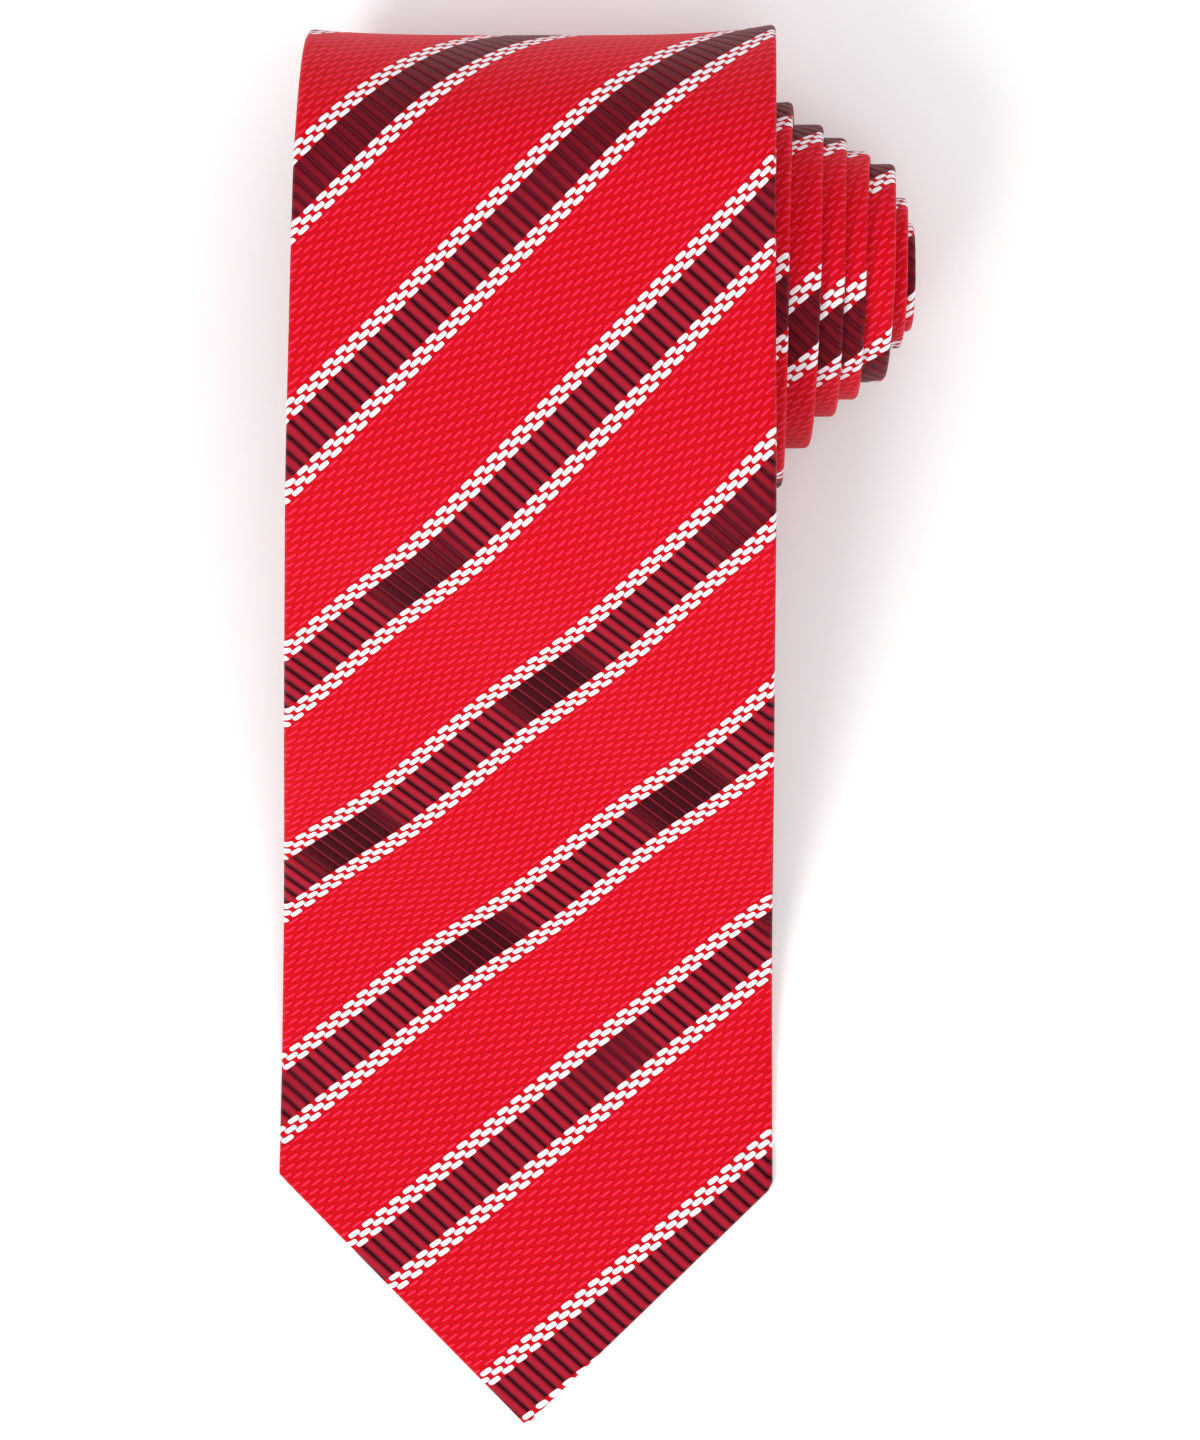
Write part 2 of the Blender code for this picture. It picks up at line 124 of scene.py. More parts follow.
CREEP_CROWN = 5.2 * MM
CREEP_OVER = (95 * MM, 250 * MM)
TRUE_AGAIN_OVER = (290 * MM, 430 * MM)  # shear and creep die away past the crown

# The weave, in picks and in shares of one float or rib
ROWS = 32  # picks in one stripe period
RIB_ROWS = 3.5  # the ribbed stripe reaches this many picks each way from its middle
PALE_ROWS = 6.5  # and the pale picks beside it this many
FLOAT_PERIOD = 3.2 * MM
TILE_FLOATS = 2
TILE_RIBS = 3
TILE_LENGTH = TILE_FLOATS * FLOAT_PERIOD  # along the stripes
FLOAT_HALF = 0.36  # half its length, half its breadth, and half its crown's breadth, where a painted highlight lies
FLOAT_BROAD = 0.45
FLOAT_CROWN = 0.14
FLOAT_SLANT = 0.22  # picks that a float leans over, per float length
BINDER_AT = 0.44  # from a float's middle
RIB_EDGE = (0.37, 0.46)  # from a rib's middle
# where a rib's top fades out, from its middle; the top carries a painted sheen highlight
RIB_TOP = (0.08, 0.47)
RIB_SLANT = 1.2  # ribs that the ribs lean over, per stripe period
GRAIN_ROWS = 64.0  # fine threads round a rib
GRAIN_TURNS = 5.0
GRAIN_DEPTH = 0.1
FLOAT_ROUGHNESS = 0.58
RIB_ROUGHNESS = 0.5

# Ripples in the blade, along the diagonal, and the painted shade on the ribs where they tip away
RIPPLE_LENGTH = 50 * MM
RIPPLE_HEIGHT = 1.0 * MM
RIPPLE_AT = 46 * MM
RIPPLE_IN = (50 * MM, 90 * MM)  # from the tip: where the ripples rise
RIPPLE_OUT = (165 * MM, 205 * MM)  # and where they die away
RIPPLE_REACH = 10 * MM  # past the lifting bend
TIPPED_AWAY = (-0.05, 0.75)  # steepness of the ripple, from lit to dark
PAST_CREST = (-5 * MM, 25 * MM)  # behind the crown the ribs are in part shade
PAST_CREST_SHADE = 0.65

# The far fold's corners stand out; from where to where is in turns
FLARE_LEFT = 1.1 * MM
FLARE_RIGHT = 2.0 * MM
FLARE_IN = (0.08, 0.2)
FLARE_OUT = (0.3, 0.42)

# Trimmings on the blade's back
LABEL_SIZE = (42 * MM, 17 * MM, 0.3 * MM)
CARE_LABEL_SIZE = (13 * MM, 24 * MM, 0.3 * MM)
CARE_LABEL_OFFSET = 31 * MM
KEEPER_SIZE = (46 * MM, 14 * MM, 0.8 * MM)
KEEPER_STAND = 1.6 * MM
KEEPER_FOOT = 0.2 * MM
KEEPER_BELOW_SHOULDER = 17 * MM
LABEL_BELOW_KEEPER = 19.5 * MM
TACK_BELOW_LABEL = 13 * MM
CURL_BELOW_TACK = 5 * MM
FLAPS_MEET_BELOW_TACK = 12 * MM
TAIL_TACK_AT = 62 * MM
FRONT_TACK_SIZE = (9 * MM, 1.4 * MM, 0.6 * MM)
TAIL_TACK_SIZE = (6.3 * MM, 1.4 * MM, 0.5 * MM)
TACK_STAND = 0.1 * MM
SIDE_STITCH = (4 * MM, 0.8 * MM, 0.35 * MM)  # shorter than its label by, broad, high
LABEL_STITCH_INSET = 1.5 * MM
LABEL_STITCH_STAND = 0.4 * MM
KEEPER_TACK_INSET = 2.5 * MM
KEEPER_TACK_STAND = 0.15 * MM
WRAP_PITCH = 0.42 * MM
THREAD_RADIUS = 0.22 * MM
STITCH_LENGTH = 7 * MM
STITCH_SWAY = 0.55 * MM
STITCH_DIP = 0.12 * MM

# The table, the camera and the meshes' steps
TABLE_SIZE = 4
TABLE_BELOW = 0.2 * MM
CAMERA_HEIGHT = 1.5
VIEW_LENGTH = 264.7 * MM  # of the table in view, from top to foot
VIEW_CENTRE_Y = -79 * MM
SENSOR = 36
ARC_STEPS = 30  # in a quarter turn
ACROSS = 30  # columns across the face
FOLD_STEPS = 6
FLAP_STEPS = 9
SHELL_STEP = 1.6 * MM  # rows along the tie
INSIDE_STEP = 2.4 * MM
THREAD_STEP = 1.0 * MM
SHARP = math.radians(50)


def ramp(value, start, end, low, high):
    share = min(max((value - start) / (end - start), 0), 1)
    return low + share * (high - low)


def ease(value, start, end):
    share = min(max((value - start) / (end - start), 0), 1)
    return share * share * (3 - 2 * share)


# ---------------------------------------------------------------- the centre line


def reach(eye, slack, turn):
    """Half extent of one side of a turn: the eye, and every turn inside this one."""
    return eye + sum(PITCH + gap * MM for gap in slack[turn:])


class Line:
    """The tie's centre line in the YZ plane, as close points with their distance and turn."""

    def __init__(self):
        self.points = []
        self.turns = []
        self.eye_z = THICK / 2 + reach(EYE, BOTTOM_SLACK, 0)
        self.crest = self.eye_z + reach(EYE, CREST_SLACK, 0)
        self.run_out()
        self.roll_in()
        self.distances = [0.0]
        for a, b in zip(self.points, self.points[1:]):
            self.distances.append(self.distances[-1] + (b - a).length)
        self.length = self.distances[-1]

    def add(self, y, z, turn):
        point = Vector((y, z))
        if not self.points or (point - self.points[-1]).length > NEAR:
            self.points.append(point)
            self.turns.append(turn)

    def run_out(self):
        drop = self.crest - THICK / 2
        bends = (SHOULDER_RADIUS + FOOT_RADIUS) * (1 - math.cos(FALL_ANGLE))
        slope = (drop - bends) / math.sin(FALL_ANGLE)
        shoulder_end = -CREST_FLAT_FRONT - SHOULDER_RADIUS * math.sin(FALL_ANGLE)
        slope_end = shoulder_end - slope * math.cos(FALL_ANGLE)
        foot_end = slope_end - FOOT_RADIUS * math.sin(FALL_ANGLE)
        self.slope_to = TIP_FLAT + FOOT_RADIUS * FALL_ANGLE + slope
        self.add(foot_end - TIP_FLAT, THICK / 2, -1)
        for step in range(ARC_STEPS):
            angle = FALL_ANGLE * step / ARC_STEPS
            rise = FOOT_RADIUS * (1 - math.cos(angle))
            self.add(foot_end + FOOT_RADIUS * math.sin(angle), THICK / 2 + rise, -0.8)
        top = self.crest - SHOULDER_RADIUS
        for step in range(ARC_STEPS + 1):
            angle = FALL_ANGLE * (1 - step / ARC_STEPS)
            y = -CREST_FLAT_FRONT - SHOULDER_RADIUS * math.sin(angle)
            self.add(y, top + SHOULDER_RADIUS * math.cos(angle), -0.3 + 0.2 * step / ARC_STEPS)

    def quarter(self, centre, half, start, turn):
        """A quarter of an ellipse, clockwise from the angle start."""
        for step in range(ARC_STEPS + 1):
            share = step / ARC_STEPS
            angle = start - share * math.pi / 2
            y = centre[0] + half[0] * math.cos(angle)
            z = centre[1] + half[1] * math.sin(angle)
            self.add(y, z, turn + share / 4)

    def roll_in(self):
        self.add(0, self.crest, 0.0)
        for turn in range(TURNS + 1):
            crest = self.eye_z + reach(EYE, CREST_SLACK, turn)
            back = reach(EYE_BACK, BACK_SLACK, turn)
            bottom = self.eye_z - reach(EYE, BOTTOM_SLACK, turn)
            flat_top = CREST_FLAT_BACK if turn == 0 else 0
            rest = REST_FLAT if turn == 0 else 0
            middle = (crest + bottom) / 2
            self.quarter((flat_top, middle), (back - flat_top, crest - middle), math.pi / 2, turn)
            self.quarter((rest, middle), (back - rest, middle - bottom), 0, turn + 0.25)
            if turn == TURNS:
                break
            front = reach(EYE, FRONT_SLACK, turn)
            crest_in = self.eye_z + reach(EYE, CREST_SLACK, turn + 1)
            middle = (crest_in + bottom) / 2
            self.quarter((-rest, middle), (front - rest, middle - bottom), -math.pi / 2, turn + 0.5)
            self.quarter((0, middle), (front, crest_in - middle), -math.pi, turn + 0.75)

    def at(self, distance):
        """(point, turn) at a distance from the tip."""
        index = min(max(bisect_right(self.distances, distance) - 1, 0), len(self.points) - 2)
        a, b = self.points[index], self.points[index + 1]
        share = (distance - self.distances[index]) / (b - a).length
        turn = self.turns[index] + share * (self.turns[index + 1] - self.turns[index])
        return a + (b - a) * share, turn

    def tangent(self, distance):
        near = 1.2 * MM
        before = max(distance - near, 0)
        after = min(distance + near, self.length)
        return (self.at(after)[0] - self.at(before)[0]).normalized()

    def of_turn(self, turn):
        for index, value in enumerate(self.turns[1:], 1):
            if value >= turn:
                return self.distances[index]
        return self.length


LINE = Line()
LIFT_AT = LINE.slope_to + SHOULDER_RADIUS * FALL_ANGLE + LIFT_INSET
KEEPER_AT = LINE.slope_to - KEEPER_BELOW_SHOULDER
LABEL_AT = KEEPER_AT - LABEL_BELOW_KEEPER
BAR_TACK_AT = LABEL_AT - TACK_BELOW_LABEL
BLADE_CURL_AT = BAR_TACK_AT - CURL_BELOW_TACK
FLAPS_MEET = BAR_TACK_AT - FLAPS_MEET_BELOW_TACK
CREST_FROM = LINE.of_turn(0)
CORE_FROM = LINE.of_turn(NECK_SEAM_TURN)
TAIL_FROM = LINE.of_turn(TAIL_SEAM_TURN)


# ---------------------------------------------------------------- the tie's outline


def width(distance):
    if distance < CROWN_AT:
        return ramp(distance, LEFT_SHOULDER, CROWN_AT, BLADE_WIDTH, CROWN_WIDTH)
    if distance < NECK_TO:
        return ramp(distance, CROWN_AT, NECK_FROM, CROWN_WIDTH, NECK_WIDTH)
    return ramp(distance, NECK_TO, LINE.length - TAIL_POINT, NECK_WIDTH, TAIL_WIDTH)


def full_right(distance):
    """X of the right edge, leaving the two points aside."""
    turn = LINE.at(distance)[1]
    if turn < 0:
        return ramp(distance, RIGHT_SHOULDER, CREST_FROM, SHOULDER_RIGHT, CREST_RIGHT[0] * MM)
    whole = min(int(turn), len(CREST_RIGHT) - 2)
    return ramp(turn, whole, whole + 1, CREST_RIGHT[whole], CREST_RIGHT[whole + 1]) * MM


def outline(distance):
    """X of the tie's centre line, its left edge and its right edge."""
    full = width(distance)
    centre = full_right(distance) - full / 2
    from_tail = LINE.length - distance
    left_share = min(distance / LEFT_SHOULDER, from_tail / TAIL_POINT, 1)
    right_share = min(distance / RIGHT_SHOULDER, from_tail / TAIL_POINT, 1)
    return centre, centre - left_share * full / 2, centre + right_share * full / 2


def turned_under(distance, left, right):
    """How far each flap reaches in from its fold."""
    from_tail = LINE.length - distance
    if distance < LEFT_SHOULDER:
        turned = HEM
    elif from_tail < TAIL_POINT:
        turned = TAIL_HEM
    elif distance < FLAPS_MEET:
        turned = ramp(distance, LEFT_SHOULDER, FLAPS_MEET, HEM, BLADE_WIDTH)
    elif from_tail < TAIL_FLAPS_MEET:
        turned = ramp(from_tail, TAIL_POINT, TAIL_FLAPS_MEET, TAIL_HEM, TAIL_WIDTH)
    else:
        turned = BLADE_WIDTH
    return min(turned, (right - left) / 2 - min(SEAM_OPENING / 2, (right - left) / 8))


def ripple(across, distance):
    """How far the cloth stands off its smooth line."""
    along = across * math.cos(STRIPE_ANGLE) + distance * math.sin(STRIPE_ANGLE)
    window = ease(distance, *RIPPLE_IN) * (1 - ease(distance, *RIPPLE_OUT))
    wave = math.sin(2 * math.pi * (along - RIPPLE_AT) / RIPPLE_LENGTH)
    return RIPPLE_HEIGHT * window * (1 + wave)


def flare(across, distance):
    """The fold behind the crown stands out a little at its two corners."""
    turn = LINE.at(distance)[1]
    near_fold = ease(turn, *FLARE_IN) * (1 - ease(turn, *FLARE_OUT))
    side = (across + WEAVE_OFFSET) / (CROWN_WIDTH / 2)
    corner = FLARE_RIGHT if side > 0 else FLARE_LEFT
    return near_fold * corner * min(side * side, 1) ** 2


def on_tie(distance, x, depth):
    """World point at a distance from the tip, at X and a depth below the face side."""
    point = LINE.at(distance)[0]
    tangent = LINE.tangent(distance)
    normal = Vector((-tangent.y, tangent.x))
    across = x - outline(distance)[0] - WEAVE_OFFSET
    on_blade = distance < LIFT_AT + RIPPLE_REACH
    lift = ripple(across, distance) if on_blade else flare(across, distance)
    point = point + normal * (THICK / 2 - depth + lift)
    return Vector((x, point.x, point.y))


def phase(distance):
    """The distance at which a burgundy stripe crosses the middle, for the panel at this distance."""
    if distance < CORE_FROM:
        return FRONT_PHASE + FRONT_DRIFT * ease(distance, *FRONT_DRIFT_OVER)
    if distance < TAIL_FROM:
        return NECK_PHASE
    return TAIL_PHASE + TAIL_DRIFT * ease(distance, *TAIL_DRIFT_OVER)


def weave_place(across, distance, start):
    """Weave coordinates: tiles along the stripes, and stripe periods square to them."""
    sine, cosine = math.sin(STRIPE_ANGLE), math.cos(STRIPE_ANGLE)
    along = across * cosine + distance * sine
    lean = min(max(SHEAR * (distance - SHEAR_FROM), -SHEAR_LIMIT), SHEAR_LIMIT)
    creep = CREEP_TIP + CREEP_CROWN * ease(distance, *CREEP_OVER)
    kept = 1 - ease(distance, *TRUE_AGAIN_OVER)
    square = (distance - start - creep * kept) * cosine - across * sine * (1 + lean * kept)
    return along / TILE_LENGTH, square / STRIPE_PERIOD


# ---------------------------------------------------------------- cloth meshes


def thinning(distance):
    """The tie is thinner at its two points."""
    from_end = min(distance, LINE.length - distance)
    return POINT_THICKNESS + (1 - POINT_THICKNESS) * ease(from_end, 0, POINT_LENGTH)


def shell_row(distance):
    """The shell's outside at one distance: (x, depth, place across the cloth), flap to flap."""
    centre, left, right = outline(distance)
    middle = centre + WEAVE_OFFSET
    thin = thinning(distance)
    bulge = min(THICK / 2, (right - left) / 5)
    reach_in = turned_under(distance, left, right) - bulge
    row = []
    for step in range(FLAP_STEPS):
        share = 1 - step / FLAP_STEPS
        x = left + bulge + share * reach_in
        row.append((x, THICK, left - middle - bulge - share * reach_in))
    for step in range(FOLD_STEPS + 1):
        angle = math.pi * step / FOLD_STEPS
        x = left + bulge - bulge * math.sin(angle)
        above_back = THICK / 2 * (1 - math.cos(angle))
        place = left - middle + bulge * (2 * step / FOLD_STEPS - 1)
        row.append((x, THICK - above_back * thin, place))
    for step in range(1, ACROSS):
        x = left + bulge + (right - left - 2 * bulge) * step / ACROSS
        row.append((x, THICK - THICK * thin, x - middle))
    for step in range(FOLD_STEPS + 1):
        angle = math.pi * step / FOLD_STEPS
        x = right - bulge + bulge * math.sin(angle)
        above_back = THICK / 2 * (1 + math.cos(angle))
        place = right - middle + bulge * (2 * step / FOLD_STEPS - 1)
        row.append((x, THICK - above_back * thin, place))
    for step in range(1, FLAP_STEPS + 1):
        share = step / FLAP_STEPS
        x = right - bulge - share * reach_in
        row.append((x, THICK, right - middle + bulge + share * reach_in))
    return row


def slab_row(depth):
    """A function for one row of a flat layer that lies inside the shell."""

    def row(distance):
        centre, left, right = outline(distance)
        inset = min(SKIN + 2 * LAYER_GAP, (right - left) / 6)
        near_back = THICK - (THICK - depth) * thinning(distance)
        points = []
        for step in range(ACROSS + 1):
            x = left + inset + (right - left - 2 * inset) * step / ACROSS
            points.append((x, near_back, x - centre - WEAVE_OFFSET))
        return points

    return row


def spaced(start, end, step):
    count = max(2, round((end - start) / step))
    return [start + (end - start) * index / count for index in range(count + 1)]


def cloth(name, row_of, start, end, thick, surface, step=INSIDE_STEP):
    """A closed sheet of cloth from start to end along the tie, thick towards the tie's inside."""
    mesh = bpy.data.meshes.new(name)
    shape = bmesh.new()
    uv = shape.loops.layers.uv.new("OFBake")
    outer = []
    places = {}
    panel = phase((start + end) / 2)
    for distance in spaced(start, end, step):
        verts = []
        for x, depth, across in row_of(distance):
            vert = shape.verts.new(on_tie(distance, x, depth))
            places[vert] = weave_place(across, distance, panel)
            verts.append(vert)
        outer.append(verts)
    faces = []
    for row, after in zip(outer, outer[1:]):
        for column in range(len(row) - 1):
            quad = [row[column], row[column + 1], after[column + 1], after[column]]
            faces.append(shape.faces.new(quad[::-1]))
    shape.normal_update()
    middle = outer[len(outer) // 2]
    probe = middle[len(middle) // 2]
    face_out = on_tie((start + end) / 2, probe.co.x, -1) - on_tie((start + end) / 2, probe.co.x, 0)
    if probe.link_faces[0].normal.dot(face_out) < 0:
        bmesh.ops.reverse_faces(shape, faces=faces)
    shape.normal_update()
    inner = []
    for verts in outer:
        row = []
        for vert in verts:
            copy = shape.verts.new(vert.co - vert.normal * thick)
            places[copy] = places[vert]
            row.append(copy)
        inner.append(row)
    twin = {a: b for row, under in zip(outer, inner) for a, b in zip(row, under)}
    for face in faces:
        shape.faces.new([twin[vert] for vert in reversed(face.verts)])
    border = [outer[0], outer[-1], [row[0] for row in outer], [row[-1] for row in outer]]
    for rim in border:
        for a, b in zip(rim, rim[1:]):
            shape.faces.new([a, b, twin[b], twin[a]])
    bmesh.ops.recalc_face_normals(shape, faces=shape.faces)
    for face in shape.faces:
        face.smooth = True
        for loop in face.loops:
            loop[uv].uv = places[loop.vert]
    shape.to_mesh(mesh)
    shape.free()
    mesh.set_sharp_from_angle(angle=SHARP)
    obj = bpy.data.objects.new(name, mesh)
    bpy.context.scene.collection.objects.link(obj)
    mesh.materials.append(surface)
    return obj


def flat_size(row_of, start, end):
    """(width, length) and area of the cloth's cut between two distances."""
    widths = []
    for distance in spaced(start, end, 4 * MM):
        row = row_of(distance)
        widths.append(row[-1][2] - row[0][2])
    length = end - start
    return (max(widths), length), length * sum(widths) / len(widths)


def declare(row_of, start, end):
    flat, area = flat_size(row_of, start, end)


# ---------------------------------------------------------------- threads and small trimmings


def link(name, shape, surface):
    bmesh.ops.recalc_face_normals(shape, faces=shape.faces)
    mesh = bpy.data.meshes.new(name)
    for face in shape.faces:
        face.smooth = True
    shape.to_mesh(mesh)
    shape.free()
    mesh.set_sharp_from_angle(angle=SHARP)
    obj = bpy.data.objects.new(name, mesh)
    bpy.context.scene.collection.objects.link(obj)
    mesh.materials.append(surface)
    return obj


def sweep(name, rings, surface):
    """A closed skin over rings of points, with flat ends."""
    shape = bmesh.new()
    made = [[shape.verts.new(point) for point in ring] for ring in rings]
    for ring, after in zip(made, made[1:]):
        for index in range(len(ring)):
            following = (index + 1) % len(ring)
            shape.faces.new([ring[index], ring[following], after[following], after[index]])
    shape.faces.new(made[0])
    shape.faces.new(made[-1][::-1])
    return link(name, shape, surface)


def thread(name, start, end, surface):
    """The slip stitch: a strand that lies along the centre seam and catches each flap in turn."""
    sides = 6
    rings = []
    for distance in spaced(start, end, THREAD_STEP):
        centre = outline(distance)[0]
        sway = STITCH_SWAY * math.sin(2 * math.pi * distance / STITCH_LENGTH)
        dip = STITCH_DIP * math.cos(4 * math.pi * distance / STITCH_LENGTH)
        ring = []
        for side in range(sides):
            angle = 2 * math.pi * side / sides
            x = centre + sway + THREAD_RADIUS * math.cos(angle)
            ring.append(on_tie(distance, x, THICK + dip + THREAD_RADIUS * math.sin(angle)))
        rings.append(ring)
    return sweep(name, rings, surface)


def tack(name, at, x, size, stand, lengthwise, surface):
    """A bar of close thread wraps on the back, along X or along the tie."""
    length, broad, high = size
    wraps = max(8, round(length / WRAP_PITCH))
    sides = 10
    rings = []
    for step in range(wraps * 4 + 1):
        share = step / (wraps * 4)
        bump = 0.82 + 0.18 * abs(math.sin(math.pi * share * wraps))
        end = min(1, 12 * min(share, 1 - share) + 0.35)
        ring = []
        for side in range(sides):
            angle = 2 * math.pi * side / sides
            b = broad / 2 * bump * end * math.cos(angle)
            d = THICK + stand + high / 2 + high / 2 * bump * end * math.sin(angle)
            a = (share - 0.5) * length
            place = (at + a, x + b) if lengthwise else (at + b, x + a)
            ring.append(on_tie(place[0], place[1], d))
        rings.append(ring)
    return sweep(name, rings, surface)


def band(name, at, x, size, stand_of, surface, columns=40, rows=12):
    """A thin rounded band (across, along, thick) on the back; stand_of(share, share) is its height."""
    broad, tall, thick = size
    shape = bmesh.new()
    uv = shape.loops.layers.uv.new("OFBake")
    layers = []
    places = {}
    for under in (0, 1):
        grid = []
        for row in range(rows + 1):
            line = []
            for column in range(columns + 1):
                i, j = column / columns, row / rows
                rim = min(1, 10 * min(i, 1 - i), 4 * min(j, 1 - j) + 0.25)
                depth = THICK + stand_of(i, j) + thick * (0.5 + (under - 0.5) * (0.45 + 0.55 * rim))
                distance = at + (j - 0.5) * tall
                vert = shape.verts.new(on_tie(distance, x + (i - 0.5) * broad, depth))
                places[vert] = weave_place(-(i - 0.5) * broad, distance, FRONT_PHASE)
                line.append(vert)
            grid.append(line)
        layers.append(grid)
    for grid in layers:
        for row in range(rows):
            for column in range(columns):
                quad = [grid[row][column], grid[row][column + 1]]
                quad += [grid[row + 1][column + 1], grid[row + 1][column]]
                shape.faces.new(quad)
    near, far = layers
    borders = [(near[0], far[0]), (near[-1], far[-1])]
    for side in (0, -1):
        borders.append(([row[side] for row in near], [row[side] for row in far]))
    for top, under in borders:
        for index in range(len(top) - 1):
            shape.faces.new([top[index], top[index + 1], under[index + 1], under[index]])
    for face in shape.faces:
        for loop in face.loops:
            loop[uv].uv = places[loop.vert]
    return link(name, shape, surface)


# ---------------------------------------------------------------- shader node helpers


class Nodes:
    """Places nodes in a tree and wires them, with numbers set where there is no wire."""

    def __init__(self, tree):
        self.tree = tree

    def set(self, node, values):
        for key, value in values.items():
            socket = node.inputs[key]
            if isinstance(value, bpy.types.NodeSocket):
                self.tree.links.new(value, socket)
            else:
                socket.default_value = value

    def math(self, operation, first, second=None, third=None):
        node = self.tree.nodes.new("ShaderNodeMath")
        node.operation = operation
        self.set(node, {i: v for i, v in enumerate((first, second, third)) if v is not None})
        return node.outputs[0]

    def mix(self, factor, low, high):
        node = self.tree.nodes.new("ShaderNodeMix")
        node.data_type = "RGBA"
        self.set(node, {0: factor, 6: low, 7: high})
        return node.outputs[2]

    def blend(self, factor, low, high):
        """Between two numbers."""
        return self.math("MULTIPLY_ADD", factor, self.math("SUBTRACT", high, low), low)

    def rise(self, value, low, high):
        """0 below low, 1 above high, smooth between."""
        node = self.tree.nodes.new("ShaderNodeMapRange")
        node.interpolation_type = "SMOOTHSTEP"
        self.set(node, {0: value, 1: low, 2: high, 3: 0.0, 4: 1.0})
        return node.outputs[0]

    def add(self, kind, **settings):
        node = self.tree.nodes.new(kind)
        for key, value in settings.items():
            setattr(node, key, value)
        return node


def new_group(name, inputs, outputs):
    group = bpy.data.node_groups.new(name, "ShaderNodeTree")
    for title, kind, default in inputs:
        socket = group.interface.new_socket(title, in_out="INPUT", socket_type=kind)
        if default is not None:
            socket.default_value = default
    for title, kind in outputs:
        group.interface.new_socket(title, in_out="OUTPUT", socket_type=kind)
    nodes = Nodes(group)
    return group, nodes, nodes.add("NodeGroupInput").outputs, nodes.add("NodeGroupOutput").inputs


